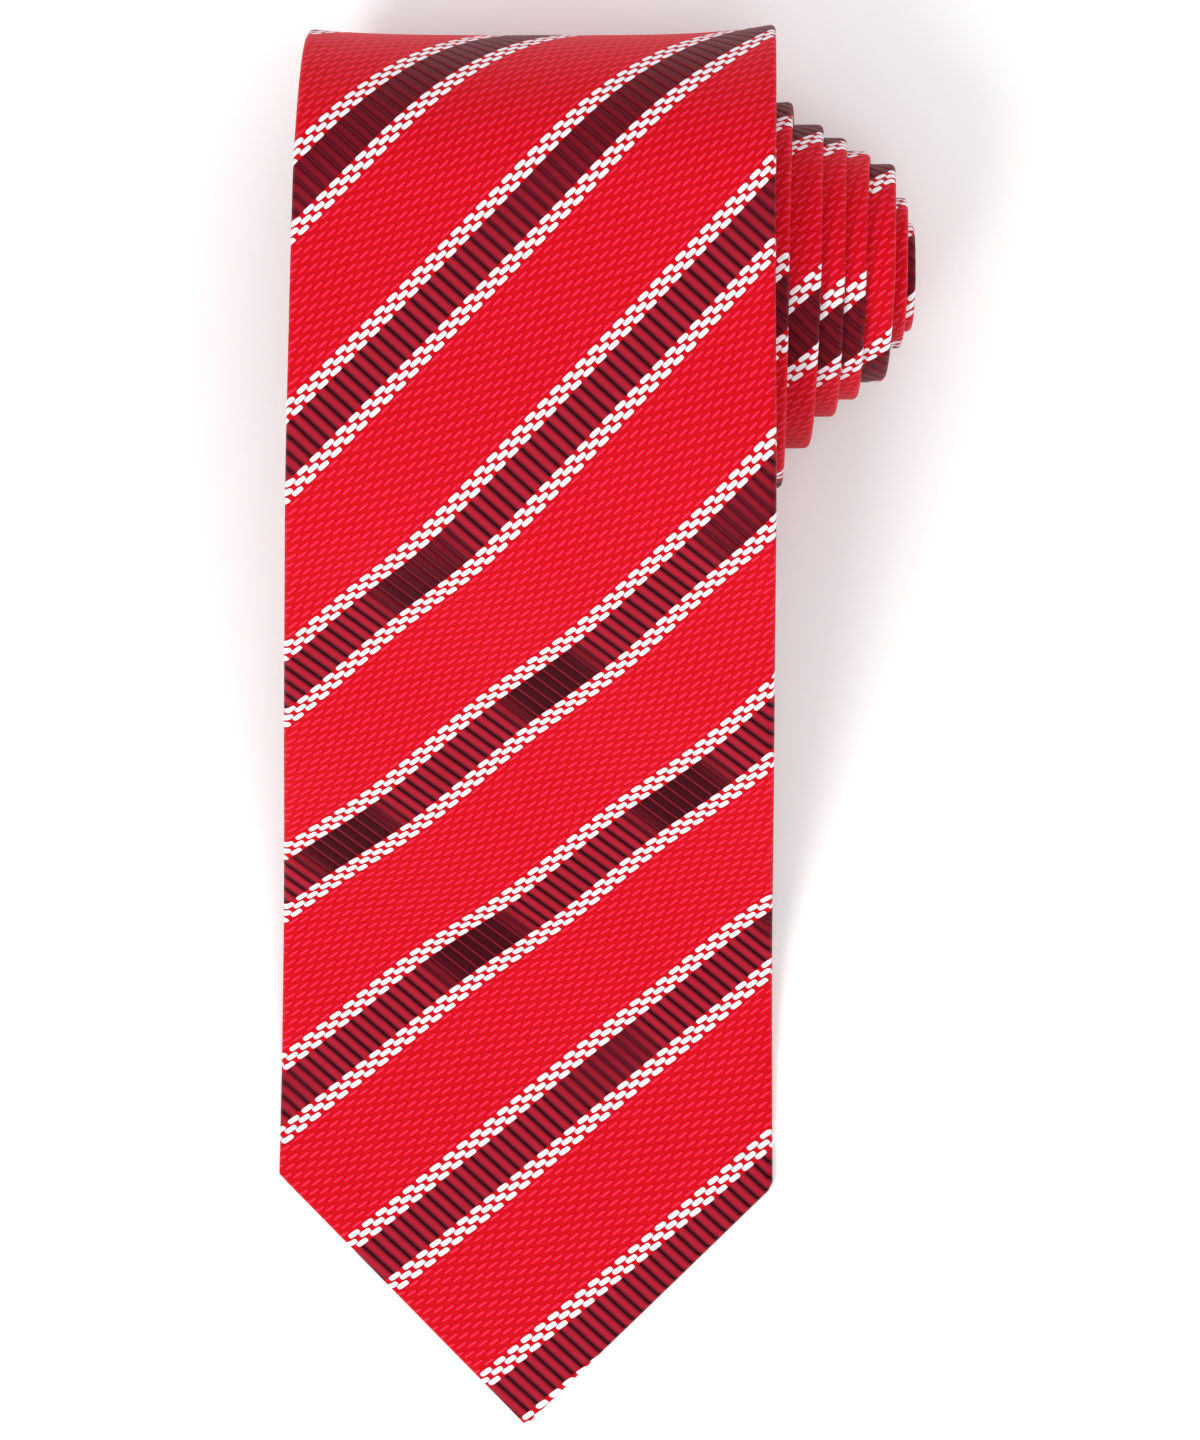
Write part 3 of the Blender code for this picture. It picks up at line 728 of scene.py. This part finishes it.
def weave_group():
    """Striped cloth: rows of staggered floats, with white rows and a ribbed stripe, and painted
    highlights and shade on the floats and ribs.
    """
    colour, number = "NodeSocketColor", "NodeSocketFloat"
    group, n, given, result = new_group(
        "striped weave",
        [
            ("Weave Place", "NodeSocketVector", None),
            ("Ground", colour, (0.8, 0.02, 0.04, 1)),
            # The colours for the crowns of floats and ribs are painted highlights; those for the gaps
            # and for ribs tipped away are painted shade; the rib edge glint is a painted glint.
            ("Ground Painted Highlight", colour, (0.9, 0.1, 0.15, 1)),
            ("Ground Gap Painted Shade", colour, (0.4, 0.01, 0.02, 1)),
            ("Pale", colour, (0.9, 0.85, 0.9, 1)),
            ("Pale Binder", colour, (0.7, 0.03, 0.06, 1)),
            ("Pale Shade", colour, (0.7, 0.4, 0.5, 1)),
            ("Rib", colour, (0.25, 0.012, 0.03, 1)),
            ("Rib Painted Highlight", colour, (0.3, 0.02, 0.05, 1)),
            ("Rib Gap Painted Shade", colour, (0.05, 0.004, 0.008, 1)),
            ("Rib Painted Shade", colour, (0.07, 0.004, 0.008, 1)),
            ("Rib Edge Glint", colour, (0.2, 0.01, 0.02, 1)),
        ],
        [("Color", colour), ("Height", number), ("Roughness", number)],
    )
    split = n.add("ShaderNodeSeparateXYZ")
    n.set(split, {0: given["Weave Place"]})
    along, square = split.outputs[0], split.outputs[1]
    pick = n.math("MULTIPLY_ADD", square, float(ROWS), 0.5)
    row = n.math("FLOOR", pick)
    stagger = n.math("MULTIPLY", n.math("FLOORED_MODULO", row, 2.0), 0.5)
    cell = n.math("ADD", n.math("MULTIPLY", along, float(TILE_FLOATS)), stagger)
    from_middle = n.math("SUBTRACT", n.math("FRACT", cell), 0.5)
    from_row = n.math("SUBTRACT", n.math("FRACT", pick), 0.5)
    in_float = n.math("ABSOLUTE", from_middle)
    in_row = n.math("ABSOLUTE", n.math("MULTIPLY_ADD", from_middle, FLOAT_SLANT, from_row))
    long_way = n.math("POWER", n.math("DIVIDE", in_float, FLOAT_HALF), 4.0)
    short_way = n.math("POWER", n.math("DIVIDE", in_row, FLOAT_BROAD), 3.5)
    body = n.math("SUBTRACT", 1.0, n.rise(n.math("ADD", long_way, short_way), 0.7, 1.15))
    narrow = n.math("POWER", n.math("DIVIDE", in_row, FLOAT_CROWN), 2.0)
    crown = n.math("SUBTRACT", 1.0, n.rise(n.math("ADD", long_way, narrow), 0.1, 1.2))
    binder_place = n.math("ABSOLUTE", n.math("SUBTRACT", in_float, BINDER_AT))
    bound = n.math("SUBTRACT", 1.0, n.rise(binder_place, 0.02, 0.04))
    bound = n.math("MULTIPLY", bound, n.math("SUBTRACT", 1.0, n.rise(in_row, 0.26, 0.36)))
    from_stripe = n.math("ABSOLUTE", n.math("WRAP", row, ROWS / 2, -ROWS / 2))
    ribbed = n.math("LESS_THAN", from_stripe, RIB_ROWS)
    pale = n.math("LESS_THAN", from_stripe, PALE_ROWS)
    turned = n.math("MULTIPLY_ADD", along, float(TILE_RIBS), n.math("MULTIPLY", square, RIB_SLANT))
    in_rib = n.math("ABSOLUTE", n.math("SUBTRACT", n.math("FRACT", turned), 0.5))
    rib = n.math("SUBTRACT", 1.0, n.rise(in_rib, *RIB_EDGE))
    twist = n.math("MULTIPLY_ADD", square, GRAIN_ROWS, n.math("MULTIPLY", turned, GRAIN_TURNS))
    strands = n.math("SINE", n.math("MULTIPLY", twist, 2 * math.pi))
    grain = n.math("MULTIPLY_ADD", strands, GRAIN_DEPTH, 1 - GRAIN_DEPTH)
    rib_crown = n.math("MULTIPLY", n.math("SUBTRACT", 1.0, n.rise(in_rib, *RIB_TOP)), grain)
    # The red ground: painted shade in the gaps between floats, and a painted pink highlight along each
    # float's crown
    ground = n.mix(body, given["Ground Gap Painted Shade"], n.mix(crown, given["Ground"], given["Ground Painted Highlight"]))
    binder = n.mix(bound, given["Pale Binder"], given["Pale Shade"])
    light = n.mix(body, binder, given["Pale"])
    # The burgundy ribs: a painted sheen highlight on each rib's top, falling off to the darker rib
    # colour at its sides, and painted near-black shade in the gaps between ribs
    ribs = n.mix(rib_crown, given["Rib"], given["Rib Painted Highlight"])
    dark = n.mix(rib, given["Rib Gap Painted Shade"], ribs)
    # Painted shade on the ribs in stretches where the blade's ripples tip them away, with a painted
    # glint at each rib's edge, and painted part shade behind the crown; both are laid out by place on
    # the cloth, not by its tilt
    swell = n.math("MULTIPLY_ADD", along, TILE_LENGTH / RIPPLE_LENGTH, -RIPPLE_AT / RIPPLE_LENGTH)
    turn_away = n.math("COSINE", n.math("MULTIPLY", swell, 2 * math.pi))
    climb = n.math("MULTIPLY", along, TILE_LENGTH * math.sin(STRIPE_ANGLE))
    from_tip = n.math("MULTIPLY_ADD", square, STRIPE_PERIOD * math.cos(STRIPE_ANGLE), climb)
    from_tip = n.math("ADD", from_tip, FRONT_PHASE * math.cos(STRIPE_ANGLE) ** 2)
    rippled = n.math("SUBTRACT", n.rise(from_tip, *RIPPLE_IN), n.rise(from_tip, *RIPPLE_OUT))
    ripple_shade = n.math("MULTIPLY", n.rise(turn_away, *TIPPED_AWAY), rippled)
    past_crest = n.rise(from_tip, *(CREST_FROM + step for step in PAST_CREST))
    unlit = n.math("MAXIMUM", ripple_shade, n.math("MULTIPLY", past_crest, PAST_CREST_SHADE))
    away = n.mix(rib, given["Rib Edge Glint"], given["Rib Painted Shade"])
    dark = n.mix(unlit, dark, away)
    n.tree.links.new(n.mix(ribbed, n.mix(pale, ground, light), dark), result["Color"])
    rounded = n.math("MULTIPLY_ADD", crown, 0.35, n.math("MULTIPLY", body, 0.65))
    rib_height = n.math("MULTIPLY_ADD", rib_crown, 0.6, n.math("MULTIPLY", rib, 0.4))
    n.tree.links.new(n.blend(ribbed, rounded, rib_height), result["Height"])
    roughness = n.blend(ribbed, FLOAT_ROUGHNESS, RIB_ROUGHNESS)
    n.tree.links.new(roughness, result["Roughness"])
    return group


def satin_group():
    """Fine satin or twill threads, with a little unevenness."""
    colour, number = "NodeSocketColor", "NodeSocketFloat"
    group, n, given, result = new_group(
        "fine threads",
        [
            ("Place", "NodeSocketVector", None),
            ("Color", colour, (0.5, 0.5, 0.5, 1)),
            ("Gap Color", colour, (0.3, 0.3, 0.3, 1)),
            ("Threads", number, 3000.0),
        ],
        [("Color", colour), ("Height", number)],
    )
    split = n.add("ShaderNodeSeparateXYZ")
    n.set(split, {0: given["Place"]})
    warp = n.math("SINE", n.math("MULTIPLY", split.outputs[0], given["Threads"]))
    lengthwise = n.math("ADD", split.outputs[1], split.outputs[2])
    weft = n.math("SINE", n.math("MULTIPLY", lengthwise, given["Threads"]))
    check = n.math("MULTIPLY_ADD", n.math("MULTIPLY", warp, weft), 0.5, 0.5)
    noise = n.add("ShaderNodeTexNoise")
    n.set(noise, {"Vector": given["Place"], "Scale": 400.0, "Detail": 2.0})
    tone = n.math("MULTIPLY_ADD", noise.outputs["Fac"], 0.4, n.math("MULTIPLY", check, 0.6))
    n.tree.links.new(n.mix(tone, given["Gap Color"], given["Color"]), result["Color"])
    n.tree.links.new(check, result["Height"])
    return group


def material(name, group, values, shader_values, bump, place="Place"):
    """A cloth material: a node group for what changes over it, and its own shader."""
    made = bpy.data.materials.new(name)
    made.use_nodes = True
    tree = made.node_tree
    n = Nodes(tree)
    shader = tree.nodes["Principled BSDF"]
    effect = n.add("ShaderNodeGroup")
    effect.node_tree = group
    if place == "Weave Place":
        source = n.add("ShaderNodeUVMap", uv_map="OFBake").outputs[0]
    else:
        source = n.add("ShaderNodeTexCoord").outputs["Object"]
    n.set(effect, {place: source, **values})
    relief = n.add("ShaderNodeBump")
    n.set(relief, {"Height": effect.outputs["Height"], "Distance": bump, "Strength": 1.0})
    wires = {"Base Color": effect.outputs["Color"], "Normal": relief.outputs[0]}
    if "Roughness" in effect.outputs:
        wires["Roughness"] = effect.outputs["Roughness"]
    n.set(shader, {**shader_values, **wires})
    return made


WEAVE = weave_group()
FINE = satin_group()
SHELL = material(
    "striped tie silk",
    WEAVE,
    {
        # The crown colours of ground and ribs are painted highlights; the gap colours and the colour
        # for ribs tipped away are painted shade, and the rib edge glint is a painted glint.
        "Ground": (0.72, 0.002, 0.008, 1),
        "Ground Painted Highlight": (0.72, 0.042, 0.13, 1),
        "Ground Gap Painted Shade": (0.55, 0.003, 0.008, 1),
        "Pale": (0.93, 0.88, 0.94, 1),
        "Pale Binder": (0.46, 0.001, 0.004, 1),
        "Pale Shade": (0.66, 0.004, 0.010, 1),
        "Rib": (0.055, 0.002, 0.006, 1),
        "Rib Painted Highlight": (0.40, 0.012, 0.028, 1),
        "Rib Gap Painted Shade": (0.004, 0.001, 0.001, 1),
        "Rib Painted Shade": (0.032, 0.001, 0.003, 1),
        "Rib Edge Glint": (0.18, 0.008, 0.020, 1),
    },
    {"Specular IOR Level": 0.2, "Specular Tint": (1.0, 0.2, 0.3, 1)},
    bump=0.22 * MM,
    place="Weave Place",
)
WADDING = material(
    "brushed interlining",
    FINE,
    {"Color": (0.80, 0.76, 0.66, 1), "Gap Color": (0.55, 0.51, 0.43, 1), "Threads": 4500.0},
    {"Roughness": 0.95},
    bump=0.15 * MM,
)
LINING = material(
    "satin tipping",
    FINE,
    {"Color": (0.30, 0.010, 0.022, 1), "Gap Color": (0.20, 0.006, 0.014, 1), "Threads": 12000.0},
    {"Roughness": 0.5, "Specular IOR Level": 0.25, "Specular Tint": (1.0, 0.4, 0.5, 1)},
    bump=0.03 * MM,
)
STITCHING = material(
    "red sewing thread",
    FINE,
    {"Color": (0.62, 0.012, 0.03, 1), "Gap Color": (0.34, 0.006, 0.015, 1), "Threads": 14000.0},
    {"Roughness": 0.5, "Sheen Weight": 0.2},
    bump=0.05 * MM,
)
LABEL = material(
    "black woven label",
    FINE,
    {"Color": (0.035, 0.03, 0.034, 1), "Gap Color": (0.012, 0.011, 0.013, 1), "Threads": 9000.0},
    {"Roughness": 0.42, "Sheen Weight": 0.1},
    bump=0.04 * MM,
)
CARE = material(
    "white satin label",
    FINE,
    {"Color": (0.86, 0.85, 0.82, 1), "Gap Color": (0.70, 0.69, 0.66, 1), "Threads": 11000.0},
    {"Roughness": 0.38},
    bump=0.03 * MM,
)


# ---------------------------------------------------------------- the tie's pieces

SEAT_FROM = LINE.of_turn(2.25)  # the bridge between the still turns and the sliding ones
SEAT_TO = LINE.of_turn(2.75)
TIP_TO = 86 * MM
LOWER_TO = 160 * MM
UPPER_TO = 250 * MM
END_INSET = 0.3 * MM
TIP_START = END_INSET
TAIL_END = LINE.length - END_INSET
INTERLINING_FROM = 5 * MM
INTERLINING_INSET = 4 * MM  # at the tail
TIPPING_FROM = 6 * MM
TIPPING_INSET = 5 * MM
TIPPING_OVERLAP = 4 * MM  # past where the tail's flaps meet
STITCH_PAST_TACK = 2 * MM
BEND_REACH = {"tip": 9 * MM, "lower": 13 * MM, "upper": 16 * MM}  # each way from the joint


def bend_at(distance, reach_each_way):
    """start and end of a bend, from the tip's side to the other."""
    low = on_tie(distance - reach_each_way, 0, 0)
    high = on_tie(distance + reach_each_way, 0, 0)
    return tuple(low), tuple(high)


BENDS = {
    "tip": ("blade_tip", "blade_lower", *bend_at(TIP_CURL_AT, BEND_REACH["tip"])),
    "lower": ("blade_lower", "blade_upper", *bend_at(BLADE_CURL_AT, BEND_REACH["lower"])),
    "upper": ("blade_upper", "roll", *bend_at(LIFT_AT, BEND_REACH["upper"])),
    "seat": ("roll", "core", tuple(on_tie(SEAT_FROM, 0, 0)), tuple(on_tie(SEAT_TO, 0, 0))),
}


def settle(obj, place):
    """Keep a piece that crosses a joint in its world place, baked into its mesh, or let it ride on its
    body.
    """
    if place in BENDS:
        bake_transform(obj)
    else:
        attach(obj, place)


def make_shell():
    spans = (
        ("front_panel_point", TIP_START, TIP_TO, "tip", ["front_panel_tip"]),
        ("front_panel_fall", TIP_TO, LOWER_TO, "lower", ["front_panel_lower"]),
        ("front_panel_crown", LOWER_TO, UPPER_TO, "upper", ["front_panel_upper"]),
        ("front_panel_turns", UPPER_TO, SEAT_FROM, "roll", ["front_panel_roll"]),
        ("front_panel_end", SEAT_FROM, CORE_FROM, "seat", ["front_panel_roll"]),
        ("neck_panel_start", CORE_FROM, SEAT_TO, "seat", ["neck_panel"]),
        ("neck_panel_turns", SEAT_TO, TAIL_FROM, "core", ["neck_panel"]),
        ("tail_panel_turns", TAIL_FROM, TAIL_END, "core", ["tail_panel"]),
    )
    for name, start, end, place, nodes in spans:
        obj = cloth(name, shell_row, start, end, SKIN * 0.9, SHELL, SHELL_STEP)
        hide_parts(*nodes)
        declare(shell_row, start, end)
        settle(obj, place)


def make_inside():
    wadding = slab_row(SKIN + LAYER_GAP)
    tail_to = TAIL_END - INTERLINING_INSET
    spans = (
        ("interlining_point", INTERLINING_FROM, TIP_TO, "tip", ["interlining_tip"]),
        ("interlining_fall", TIP_TO, LOWER_TO, "lower", ["interlining_lower"]),
        ("interlining_crown", LOWER_TO, UPPER_TO, "upper", ["interlining_upper"]),
        ("interlining_turns", UPPER_TO, SEAT_FROM, "roll", ["interlining_roll"]),
        ("interlining_seat", SEAT_FROM, SEAT_TO, "seat", ["interlining_roll", "interlining_core"]),
        ("interlining_inner", SEAT_TO, tail_to, "core", ["interlining_core"]),
    )
    for name, start, end, place, nodes in spans:
        obj = cloth(name, wadding, start, end, INTERLINING, WADDING)
        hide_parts(*nodes)
        declare(wadding, start, end)
        settle(obj, place)
    lining = slab_row(SKIN + 2 * LAYER_GAP + INTERLINING)
    tail_from = LINE.length - TAIL_FLAPS_MEET - TIPPING_OVERLAP
    spans = (
        ("tipping_point", TIPPING_FROM, TIP_TO, "tip", ["front_tipping_tip"]),
        ("tipping_fall", TIP_TO, BLADE_CURL_AT, "lower", ["front_tipping_lower"]),
        ("tipping_tail", tail_from, TAIL_END - TIPPING_INSET, "core", ["tail_tipping"]),
    )
    for name, start, end, place, nodes in spans:
        obj = cloth(name, lining, start, end, TIPPING, LINING)
        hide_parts(*nodes)
        declare(lining, start, end)
        settle(obj, place)


def make_stitches():
    stitch_from = BAR_TACK_AT + STITCH_PAST_TACK
    spans = (
        ("slip_stitch_fall", stitch_from, LOWER_TO, "lower", ["slip_stitch_upper"]),
        ("slip_stitch_crown", LOWER_TO, UPPER_TO, "upper", ["slip_stitch_upper"]),
        ("slip_stitch_turns", UPPER_TO, SEAT_FROM, "roll", ["slip_stitch_roll"]),
        ("slip_stitch_seat", SEAT_FROM, SEAT_TO, "seat", ["slip_stitch_roll", "slip_stitch_core"]),
        ("slip_stitch_inner", SEAT_TO, LINE.length - TAIL_TACK_AT, "core", ["slip_stitch_core"]),
    )
    for name, start, end, place, nodes in spans:
        obj = thread(name, start, end, STITCHING)
        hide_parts(*nodes)
        settle(obj, place)


def make_trimmings():
    centre = outline(LABEL_AT)[0]
    pieces = []

    def keep(obj, node, body="blade_upper"):
        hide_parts(node)
        pieces.append((obj, body))
        return obj

    tacks = (
        ("front_bar_tack", BAR_TACK_AT, FRONT_TACK_SIZE, "blade_upper"),
        ("tail_bar_tack", LINE.length - TAIL_TACK_AT, TAIL_TACK_SIZE, "core"),
    )
    for name, at, size, body in tacks:
        x = outline(at)[0]
        keep(tack(f"{name}_wraps", at, x, size, TACK_STAND, False, STITCHING), name, body)

    def flat(i, j):
        return 0.25 * MM * (1 + math.sin(math.pi * j) * (0.4 + 0.6 * abs(i - 0.5)))

    def bow(i, j):
        foot = min(i, 1 - i)
        return KEEPER_FOOT + (KEEPER_STAND - KEEPER_FOOT) * ease(foot, 0.09, 0.2)

    label = band("maker_label_cloth", LABEL_AT, centre, LABEL_SIZE, flat, LABEL)
    keep(label, "maker_label")
    care_x = centre + CARE_LABEL_OFFSET
    care = band("care_label_cloth", LABEL_AT, care_x, CARE_LABEL_SIZE, flat, CARE, 16, 24)
    keep(care, "care_label")
    loop = band("keeper_loop_cloth", KEEPER_AT, centre, KEEPER_SIZE, bow, SHELL, 56, 14)
    keep(loop, "keeper_loop")
    stitched = (
        ("maker_label_stitch", LABEL_AT, LABEL_SIZE, LABEL_STITCH_INSET, LABEL_STITCH_STAND),
        ("keeper_tack", KEEPER_AT, KEEPER_SIZE, KEEPER_TACK_INSET, KEEPER_TACK_STAND),
    )
    for name, at, under, inset, stand in stitched:
        offset = under[0] / 2 - inset
        size = (under[1] - SIDE_STITCH[0], *SIDE_STITCH[1:])
        for side, sign in (("left", -1), ("right", 1)):
            x = centre + sign * offset
            bar = tack(f"{name}_{side}_wraps", at, x, size, under[2] + stand, True, STITCHING)
            keep(bar, f"{name}_{side}")
    for obj, body in pieces:
        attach(obj, body)


make_shell()
make_inside()
make_stitches()
make_trimmings()


# ---------------------------------------------------------------- table, light and camera


def make_table():
    bpy.ops.mesh.primitive_plane_add(size=TABLE_SIZE, location=(0, 0, -TABLE_BELOW))
    table = bpy.context.object
    table.name = "table"
    paper = bpy.data.materials.new("white table")
    paper.use_nodes = True
    shader = paper.node_tree.nodes["Principled BSDF"]
    shader.inputs["Base Color"].default_value = (0.96, 0.96, 0.96, 1)
    shader.inputs["Roughness"].default_value = 0.9
    table.data.materials.append(paper)


def area_light(name, location, target, size, power):
    data = bpy.data.lights.new(name, "AREA")
    data.shape = "DISK"
    data.size = size
    data.energy = power
    obj = bpy.data.objects.new(name, data)
    obj.location = location
    aim = Vector(target) - Vector(location)
    obj.rotation_euler = aim.to_track_quat("-Z", "Y").to_euler()
    bpy.context.scene.collection.objects.link(obj)


def make_light():
    world = bpy.data.worlds.new("studio")
    bpy.context.scene.world = world
    world.use_nodes = True
    world.node_tree.nodes["Background"].inputs[0].default_value = (1, 1, 1, 1)
    world.node_tree.nodes["Background"].inputs[1].default_value = 0.8
    area_light("key", (-0.7, -0.9, 1.3), target=(0, -0.03, 0.02), size=0.7, power=12)
    area_light("top", (0.25, -0.2, 1.9), target=(0, -0.05, 0), size=0.9, power=8)
    bpy.context.scene.view_settings.view_transform = "Standard"


def make_camera():
    data = bpy.data.cameras.new("camera")
    data.sensor_width = SENSOR
    data.lens = SENSOR * CAMERA_HEIGHT / VIEW_LENGTH
    obj = bpy.data.objects.new("camera", data)
    obj.location = (0, VIEW_CENTRE_Y, CAMERA_HEIGHT)
    bpy.context.scene.collection.objects.link(obj)
    bpy.context.scene.camera = obj


make_table()
make_light()
make_camera()
